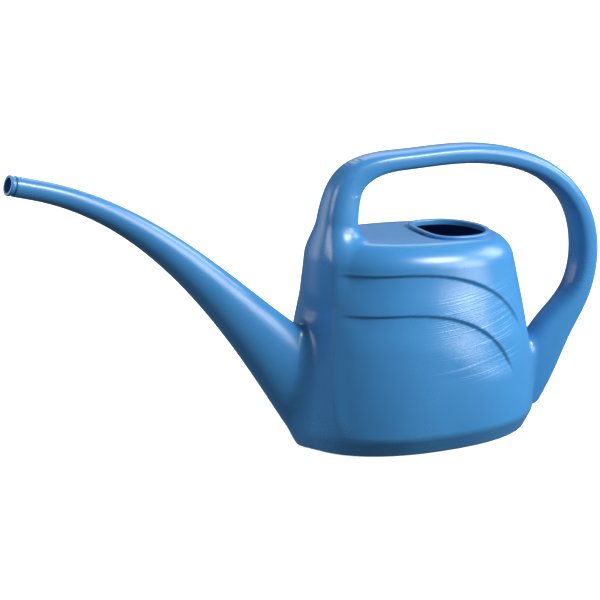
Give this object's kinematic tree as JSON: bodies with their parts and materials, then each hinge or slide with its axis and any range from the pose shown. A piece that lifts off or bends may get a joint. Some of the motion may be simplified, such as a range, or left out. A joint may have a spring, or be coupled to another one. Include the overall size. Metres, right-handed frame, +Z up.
{
  "type": "watering can",
  "caption": "Hollow moulded watering can with an oval tank, a filler mouth behind the handle post, a long tapering spout and a loop handle.",
  "frame": {"origin": "centre of the foot, on the ground the can stands on", "axes": "+Z up; the spout points to -X and the handle's loop is behind the tank at +X; +Y is across the tank"},
  "size_m": [0.4771, 0.1402, 0.2281],
  "materials": {
    "plastic": "satin polyethylene, blue through the wall"
  },
  "bodies": {
    "root": {"base": "plastic", "tank_wall": "plastic", "shoulder": "plastic", "filler_rim": "plastic", "spout_root": "plastic", "spout_tube": "plastic", "spout_tip": "plastic", "handle_post": "plastic", "handle_grip": "plastic", "handle_arch": "plastic", "handle_tail": "plastic"}
  },
  "joints": []
}
